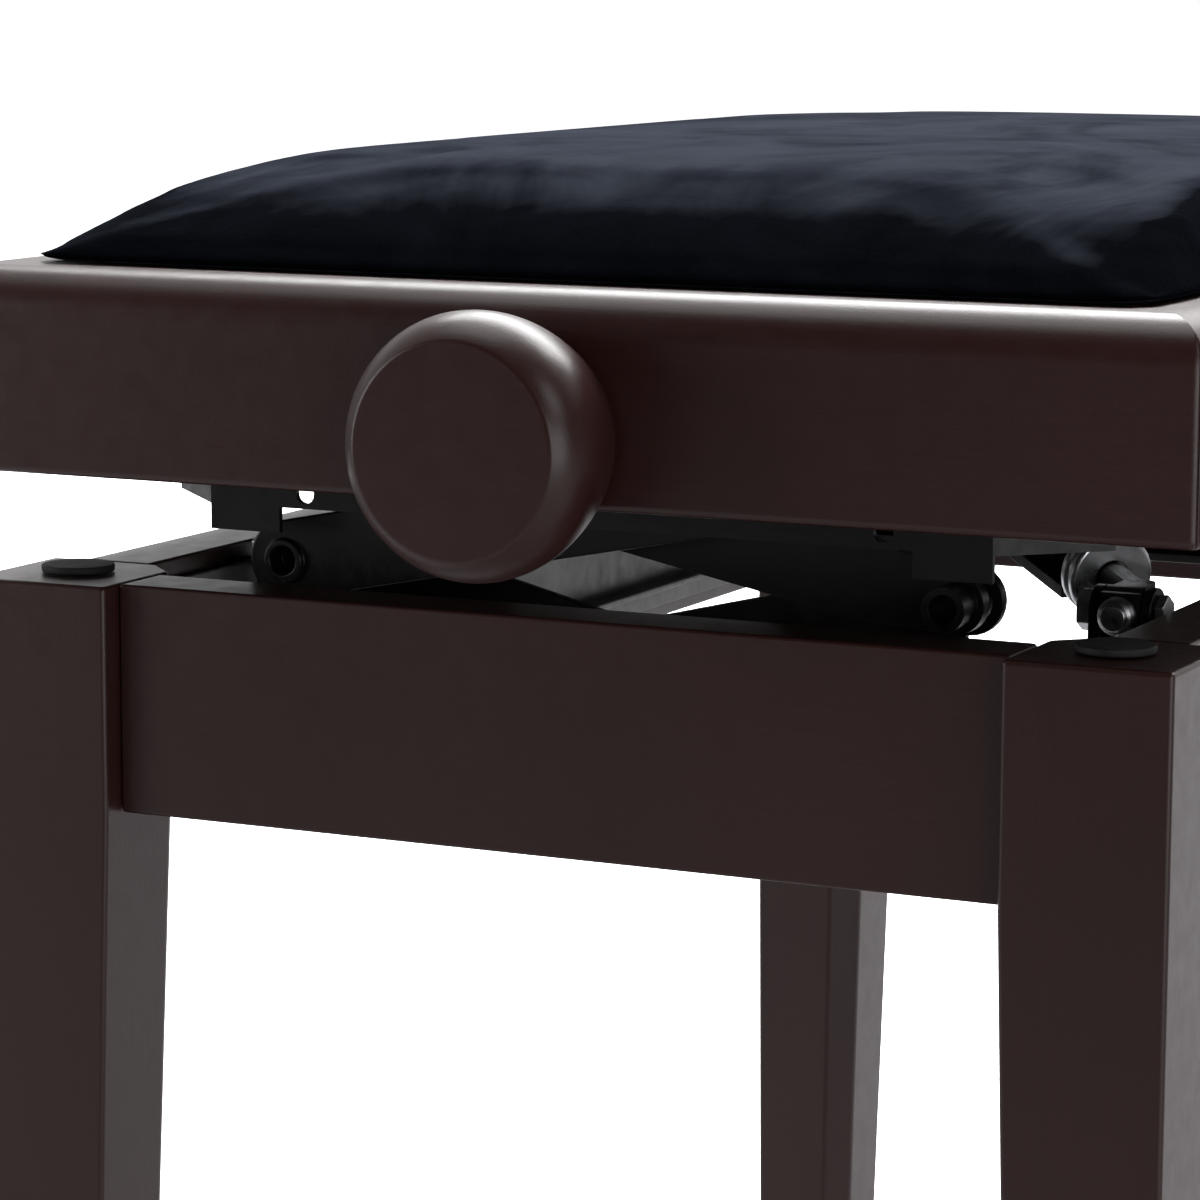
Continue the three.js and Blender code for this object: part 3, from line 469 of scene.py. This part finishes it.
def seat_rail(name, half_length, outer, facing, material):
    """A seat rail from mitre to mitre, its outer face at the given distance, facing that way.
    Each end carries half of the rounded corner."""
    low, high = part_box(name)
    span = high - low
    thick = min(span.x, span.y)
    section = rail_section(thick, low.z, high.z)
    steps = RAIL_CORNER_STEPS
    stations = [(-1, steps - i) for i in range(steps + 1)] + [(1, i) for i in range(steps + 1)]
    across = Vector((-facing.y, facing.x, 0))
    points, faces = [], []
    for end, step in stations:
        angle = math.pi / 4 * step / steps
        for offset, height in section:
            reach = max(RAIL_CORNER, -offset)
            radius = max(RAIL_CORNER + offset, 0)
            run = half_length - reach + radius * math.sin(angle) - MITRE_SEAM * step / steps
            out = outer - reach + (reach + offset if radius == 0 else radius * math.cos(angle))
            points.append(facing * out + across * (end * run) + Vector((0, 0, height)))
    count = len(section)
    for row in range(len(stations) - 1):
        for i in range(count):
            j = (i + 1) % count
            faces.append((row * count + i, row * count + j,
                          (row + 1) * count + j, (row + 1) * count + i))
    faces.append(tuple(range(count)))
    faces.append(tuple(range((len(stations) - 1) * count, len(stations) * count)))
    thing = add_mesh(name + "_shown", points, faces)
    outward(thing)
    smooth(thing)
    weigh = thing.modifiers.new("even_shading", "WEIGHTED_NORMAL")
    weigh.weight = NORMAL_WEIGHT
    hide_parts(name)
    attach(thing, "seat")
    paint(thing, material)


def make_seat_rails():
    half_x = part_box("seat_rail_right")[1].x
    half_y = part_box("seat_rail_back")[1].y
    for end, sign in ENDS:
        seat_rail(f"seat_rail_{end}", half_y, half_x, Vector((sign, 0, 0)), WOOD["y"])
    for side, sign in SIDES:
        seat_rail(f"seat_rail_{side}", half_x, half_y, Vector((0, sign, 0)), WOOD["x"])


def knob_profile(length, radius):
    """Flat face with a soft edge, a long shoulder, and a body that narrows to its back."""
    shoulder = radius - KNOB_FACE
    waist = length - 2 * shoulder
    edge = KNOB_BACK_EDGE
    profile = [(0, 0), (KNOB_BACK - edge, 0), (KNOB_BACK, edge)]
    for i in range(1, KNOB_BODY_STEPS + 1):
        share = i / KNOB_BODY_STEPS
        profile.append((KNOB_BACK + (radius - KNOB_BACK) * math.sin(share * math.pi / 2),
                        edge + (waist - edge) * share))
    last = KNOB_SHOULDER_TURN
    for i in range(1, KNOB_SHOULDER_STEPS + 1):
        turn = i / KNOB_SHOULDER_STEPS * last
        inward = (math.cos(turn) - math.cos(last)) / (1 - math.cos(last))
        profile.append((KNOB_FACE + shoulder * inward,
                        waist + 2 * shoulder * math.sin(turn) / math.sin(last)))
    profile.append((KNOB_FACE * 0.5, length))
    profile.append((0, length))
    return profile


def make_knobs():
    for end, sign in ENDS:
        low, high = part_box(f"knob_{end}")
        middle = (low + high) / 2
        back = low.x if sign > 0 else high.x
        profile = knob_profile(high.x - low.x, (high.z - low.z) / 2)
        knob = turned(f"knob_{end}_shown", profile, (back, middle.y, middle.z), "x",
                      WOOD["y"], 160, 0.0005, sign)
        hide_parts(f"knob_{end}")
        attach(knob, "screw")


def make_rosettes():
    """Flanged bushes in the end rails: the round collar that shows behind each knob."""
    for end, sign in ENDS:
        low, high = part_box(f"bush_{end}")
        middle = (low + high) / 2
        length = high.x - low.x
        radius = (high.z - low.z) / 2
        flange = length - BUSH_COLLAR
        profile = [(BUSH_BORE, 0), (BUSH_SLEEVE, 0), (BUSH_SLEEVE, flange), (radius, flange),
                   (radius, length - 0.5 * MM), (radius - BUSH_RIM, length),
                   (BUSH_BORE, length)]
        back = low.x if sign > 0 else high.x
        rosette = turned(f"bush_{end}_shown", profile, (back, middle.y, middle.z), "x",
                         WOOD["y"], 96, 0.0003, sign)
        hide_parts(f"bush_{end}")
        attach(rosette, "seat")


# ---------------------------------------------------------------- rubber discs


def make_discs():
    """Bumpers on the leg tops and glides under the feet."""
    for side, _ in SIDES:
        for end, _ in ENDS:
            for kind, rim in (("bumper", 0.5 * MM), ("glide", 0.8 * MM)):
                name = f"{kind}_{side}_{end}"
                low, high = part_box(name)
                middle = (low + high) / 2
                radius = (high.x - low.x) / 2
                height = high.z - low.z
                profile = [(0, 0), (radius, 0), (radius, height), (radius * 0.75, height),
                           (0, height)]
                base = (middle.x, middle.y, low.z)
                disc = turned(name + "_shown", profile, base, "z", RUBBER, 72, rim)
                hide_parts(name)
                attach(disc, "base")


# ---------------------------------------------------------------- steel lift

SHEET_EDGE = 0.5 * MM
SMALL_EDGE = 0.35 * MM
THREAD_PITCH = 4 * MM
THREAD_ROOT = 4.2 * MM
THREAD_SUNK = 0.2 * MM                  # the ridge starts this far inside the screw's root
THREAD_FROM = -78 * MM
THREAD_TO = 46 * MM
THREAD_FOOT = 0.34                      # half widths of the ridge, in pitches
THREAD_CREST = 0.16


def finish_steel():
    for end, _ in ENDS:
        finish_node(f"lower_angle_{end}", BLACK_STEEL, SHEET_EDGE)
        finish_node(f"upper_angle_{end}", BLACK_STEEL, SHEET_EDGE)
        for side, _ in SIDES:
            finish_node(f"swing_arm_{side}_{end}", BLACK_STEEL, SHEET_EDGE)
    for side, _ in SIDES:
        finish_node(f"lower_rail_{side}", GREY_STEEL, SHEET_EDGE)
        finish_node(f"upper_side_angle_{side}", BLACK_STEEL, SHEET_EDGE)
        finish_node(f"anchor_clevis_{side}", BLACK_STEEL, SMALL_EDGE)
        finish_node(f"anchor_bolt_{side}", ZINC, SMALL_EDGE)
        finish_node(f"fork_arm_{side}", BLACK_STEEL, SMALL_EDGE)
        finish_node(f"pivot_block_{side}", BLACK_STEEL, SMALL_EDGE)
        finish_node(f"pivot_cap_{side}", ZINC, SMALL_EDGE)
        finish_node(f"thrust_collar_{side}", ZINC, SMALL_EDGE)
        finish_node(f"upper_shaft_{side}", BLACK_STEEL, SMALL_EDGE)
    finish_node("screw_nut", ZINC, 0.8 * MM)
    finish_node("seat_board", PLYWOOD, 0.4 * MM)


def thread_shell(radius, first, last, centre, segments):
    """Points and faces of one closed ridge wound round the screw."""
    foot = THREAD_ROOT - THREAD_SUNK
    section = ((-THREAD_FOOT, foot), (-THREAD_CREST, radius), (THREAD_CREST, radius),
               (THREAD_FOOT, foot))
    turns = (last - first) / THREAD_PITCH
    count = int(turns * segments)
    points, faces = [], []
    for i in range(count + 1):
        angle = 2 * math.pi * i / segments
        ease = min(1, i / segments, (count - i) / segments)
        for share, reach in section:
            r = foot + (reach - foot) * ease
            points.append(Vector((first + THREAD_PITCH * (i / segments + share),
                                  centre.y + r * math.cos(angle),
                                  centre.z + r * math.sin(angle))))
    size = len(section)
    for i in range(count):
        for j in range(size):
            k = (j + 1) % size
            faces.append((i * size + j, i * size + k, (i + 1) * size + k, (i + 1) * size + j))
    faces.append(tuple(range(size)))
    faces.append(tuple(range(count * size, (count + 1) * size)))
    return points, faces


def make_screw():
    """Plain ends, and a thread over the middle stretch."""
    low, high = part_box("lift_screw")
    centre = (low + high) / 2
    radius = (high.z - low.z) / 2
    step = 0.8 * MM
    profile = [(0, low.x), (radius - step, low.x), (radius, low.x + step),
               (radius, THREAD_FROM - step), (THREAD_ROOT, THREAD_FROM),
               (THREAD_ROOT, THREAD_TO), (radius, THREAD_TO + step),
               (radius, high.x - step), (radius - step, high.x), (0, high.x)]
    points, faces = lathe_shell(profile, (0, centre.y, centre.z), AXIS_FRAMES["x"], 48)
    ridge, ridge_faces = thread_shell(radius, THREAD_FROM + THREAD_PITCH * 0.4,
                                      THREAD_TO - THREAD_PITCH * 0.4, centre, 32)
    start = len(points)
    faces += [tuple(start + i for i in face) for face in ridge_faces]
    screw = add_mesh("lift_screw_shown", points + ridge, faces)
    outward(screw)
    paint(screw, ZINC)
    soften(screw, 0.15 * MM, 1, 40)
    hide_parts("lift_screw")
    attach(screw, "screw")


# ---------------------------------------------------------------- velvet pad

PAD_CREST = 25.8 * MM
PAD_GRID = (141, 101)
PAD_VOXEL = 5 * MM
PAD_TACKED = 1.5 * MM                   # the cover is held below this height
PAD_SWELL_LIMIT = 1.0 * MM
COVER_PRESSURE = 4
COVER_MASS = 0.3
COVER_QUALITY = 5
COVER_FRAMES = 20

# How the pad rises from an edge: share of the quick rise, its length and power, then the
# length and power of the gentle rise.
END_RISE = (0.10, 3 * MM, 1.0, 42 * MM, 1.33)
SIDE_RISE = (0.88, 9.5 * MM, 1.7, 60 * MM, 2.0)


def rise(distance, fast, fast_length, fast_power, slow_length, slow_power):
    """How far the pad has risen at a distance from its edge, from 0 to 1."""
    quick = 1 - np.exp(-(distance / fast_length) ** fast_power)
    gentle = 1 - np.exp(-(distance / slow_length) ** slow_power)
    return fast * quick + (1 - fast) * gentle


def pad_height(x, y, half_x, half_y):
    """Height of the top over the base, at a place on the pad."""
    from_end = np.maximum(half_x - np.abs(x), 0)
    from_side = np.maximum(half_y - np.abs(y), 0)
    return PAD_CREST * rise(from_end, *END_RISE) * rise(from_side, *SIDE_RISE)


def edge_steps(half, count):
    """Positions from -half to half, closer together towards both edges."""
    share = np.linspace(-1, 1, count)
    return half * np.sin(share * math.pi / 2)


def pad_mesh(name, half_x, half_y, base):
    """Closed pad: the crowned top as a grid, joined round its edge to a flat underside."""
    count_x, count_y = PAD_GRID
    xs, ys = edge_steps(half_x, count_x), edge_steps(half_y, count_y)
    points = [(x, y, base + level * float(pad_height(x, y, half_x, half_y)))
              for level in (1, 0) for x in xs for y in ys]
    under = count_x * count_y
    faces = []
    for i in range(count_x - 1):
        for j in range(count_y - 1):
            near, far = i * count_y + j, (i + 1) * count_y + j
            faces.append((near, far, far + 1, near + 1))
            faces.append((under + near, under + near + 1, under + far + 1, under + far))
    thing = add_mesh(name, points, faces)
    work = bmesh.new()
    work.from_mesh(thing.data)
    bmesh.ops.remove_doubles(work, verts=work.verts, dist=1e-6)
    bmesh.ops.recalc_face_normals(work, faces=work.faces)
    work.to_mesh(thing.data)
    work.free()
    return thing


def applied(thing):
    """A new mesh: the piece's own, with its modifiers applied."""
    graph = bpy.context.evaluated_depsgraph_get()
    return bpy.data.meshes.new_from_object(thing.evaluated_get(graph), depsgraph=graph)


def swell_as_cloth(thing, base):
    """Blows the pad up under its cover, then holds back what moved too far."""
    remesh = thing.modifiers.new("even_mesh", "REMESH")
    remesh.mode = "VOXEL"
    remesh.voxel_size = PAD_VOXEL
    mesh = applied(thing)
    thing.modifiers.clear()
    thing.data = mesh
    start = np.array([v.co for v in mesh.vertices])
    pinned = thing.vertex_groups.new(name="tacked_edge")
    low = [v.index for v in mesh.vertices if v.co.z < base + PAD_TACKED]
    pinned.add(low, 1.0, "REPLACE")
    cloth = thing.modifiers.new("cover", "CLOTH")
    cloth.settings.use_pressure = True
    cloth.settings.uniform_pressure_force = COVER_PRESSURE
    cloth.settings.mass = COVER_MASS
    cloth.settings.quality = COVER_QUALITY
    cloth.settings.vertex_group_mass = "tacked_edge"
    cloth.settings.effector_weights.gravity = 0
    scene = bpy.context.scene
    scene.frame_start, scene.frame_end = 1, COVER_FRAMES
    for step in range(1, COVER_FRAMES + 1):
        scene.frame_set(step)
    swollen = applied(thing)
    moved = np.array([v.co for v in swollen.vertices]) - start
    thing.modifiers.clear()
    scene.frame_set(1)
    distance = np.linalg.norm(moved, axis=1)
    keep = np.minimum(1, PAD_SWELL_LIMIT / np.maximum(distance, 1e-9))
    final = start + moved * keep[:, None]
    final[:, 2] = np.maximum(final[:, 2], base)
    mesh.vertices.foreach_set("co", final.astype(np.float32).ravel())
    mesh.update()


def make_pad():
    low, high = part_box("cushion")
    half_x, half_y = (high.x - low.x) / 2, (high.y - low.y) / 2
    pad = pad_mesh("velvet_pad", half_x, half_y, low.z)
    swell_as_cloth(pad, low.z)
    fine = pad.modifiers.new("fine", "SUBSURF")
    fine.levels = fine.render_levels = 1
    smooth(pad)
    paint(pad, VELVET)
    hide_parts("cushion")
    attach(pad, "seat")


# ---------------------------------------------------------------- stage and light

FLOOR_HALF = 40.0
FLOOR_GLOW = 0.7
STUDIO_BRIGHT_WAY = (0.89, 0.43, 0.1)   # away from the camera, where the studio is brightest
STUDIO_DIM, STUDIO_BRIGHT = 0.04, 0.85
STUDIO_DIM_UNTIL, STUDIO_BRIGHT_FROM = -0.35, 0.75


def make_stage():
    """A floor that the camera sees as glowing white, and that the bench sees as grey."""
    half = FLOOR_HALF
    floor = add_mesh("floor", [(-half, -half, 0), (half, -half, 0), (half, half, 0),
                               (-half, half, 0)], [(0, 1, 2, 3)])
    finish = Finish("pale_floor")
    speck = finish.noise(3, 2)
    pale = finish.blend(speck, colour(0.86, 0.86, 0.86), colour(0.9, 0.9, 0.9))
    seen = finish.add("ShaderNodeLightPath", {}).outputs["Is Camera Ray"]
    finish.set(
        Base_Color=finish.blend(seen, colour(0.40, 0.40, 0.41), pale),
        Emission_Color=colour(1.0, 1.0, 1.0),
        Emission_Strength=finish.maths("MULTIPLY", seen, FLOOR_GLOW),
        Roughness=0.9,
        Specular_IOR_Level=0.1,
    )
    paint(floor, finish.material)


def soft_light(name, place, target, size, power):
    data = bpy.data.lights.new(name, "AREA")
    data.shape = "RECTANGLE"
    data.size, data.size_y = size
    data.energy = power
    lamp = bpy.data.objects.new(name, data)
    bpy.context.scene.collection.objects.link(lamp)
    aim = Vector(target) - Vector(place)
    lamp.rotation_mode = "QUATERNION"
    lamp.rotation_quaternion = aim.to_track_quat("-Z", "Y")
    lamp.location = place


def make_light():
    """A white studio: bright behind the bench, dim behind the camera, with softboxes above and
    on both sides, and a wash of light on the floor behind."""
    world = bpy.data.worlds.new("studio")
    bpy.context.scene.world = world
    world.use_nodes = True
    tree = world.node_tree
    tree.nodes.clear()
    output = tree.nodes.new("ShaderNodeOutputWorld")
    background = tree.nodes.new("ShaderNodeBackground")
    coords = tree.nodes.new("ShaderNodeTexCoord")
    dot = tree.nodes.new("ShaderNodeVectorMath")
    dot.operation = "DOT_PRODUCT"
    dot.inputs[1].default_value = STUDIO_BRIGHT_WAY
    span = tree.nodes.new("ShaderNodeMapRange")
    span.interpolation_type = "SMOOTHSTEP"
    span.inputs["From Min"].default_value = STUDIO_DIM_UNTIL
    span.inputs["From Max"].default_value = STUDIO_BRIGHT_FROM
    span.inputs["To Min"].default_value = STUDIO_DIM
    span.inputs["To Max"].default_value = STUDIO_BRIGHT
    background.inputs["Color"].default_value = (1, 1, 1, 1)
    path = tree.nodes.new("ShaderNodeLightPath")
    bright = tree.nodes.new("ShaderNodeMath")
    bright.operation = "MAXIMUM"
    tree.links.new(coords.outputs["Generated"], dot.inputs[0])
    tree.links.new(dot.outputs["Value"], span.inputs["Value"])
    tree.links.new(span.outputs[0], bright.inputs[0])
    tree.links.new(path.outputs["Is Camera Ray"], bright.inputs[1])
    tree.links.new(bright.outputs[0], background.inputs["Strength"])
    tree.links.new(background.outputs[0], output.inputs["Surface"])
    soft_light("overhead", (0.1, 0.3, 2.3), (0, 0, 0.4), (1.8, 1.2), 17)
    soft_light("key_box", (-0.9, -1.8, 1.7), (-0.2, 0, 0.45), (0.8, 0.8), 7)
    soft_light("side_box", (-1.45, -1.75, 0.45), (-0.3, 0, 0.43), (1.6, 0.9), 15)
    soft_light("back_side_box", (-1.4, 1.9, 0.7), (-0.2, 0, 0.4), (0.8, 1.0), 13)
    soft_light("far_wash", (2.6, 0.4, 2.6), (2.6, 0.4, 0), (3.0, 3.0), 330)


make_camera()
finish_base_wood()
make_seat_rails()
make_knobs()
make_rosettes()
make_discs()
finish_steel()
make_screw()
make_pad()
make_stage()
make_light()
bpy.context.scene.view_settings.view_transform = "Standard"
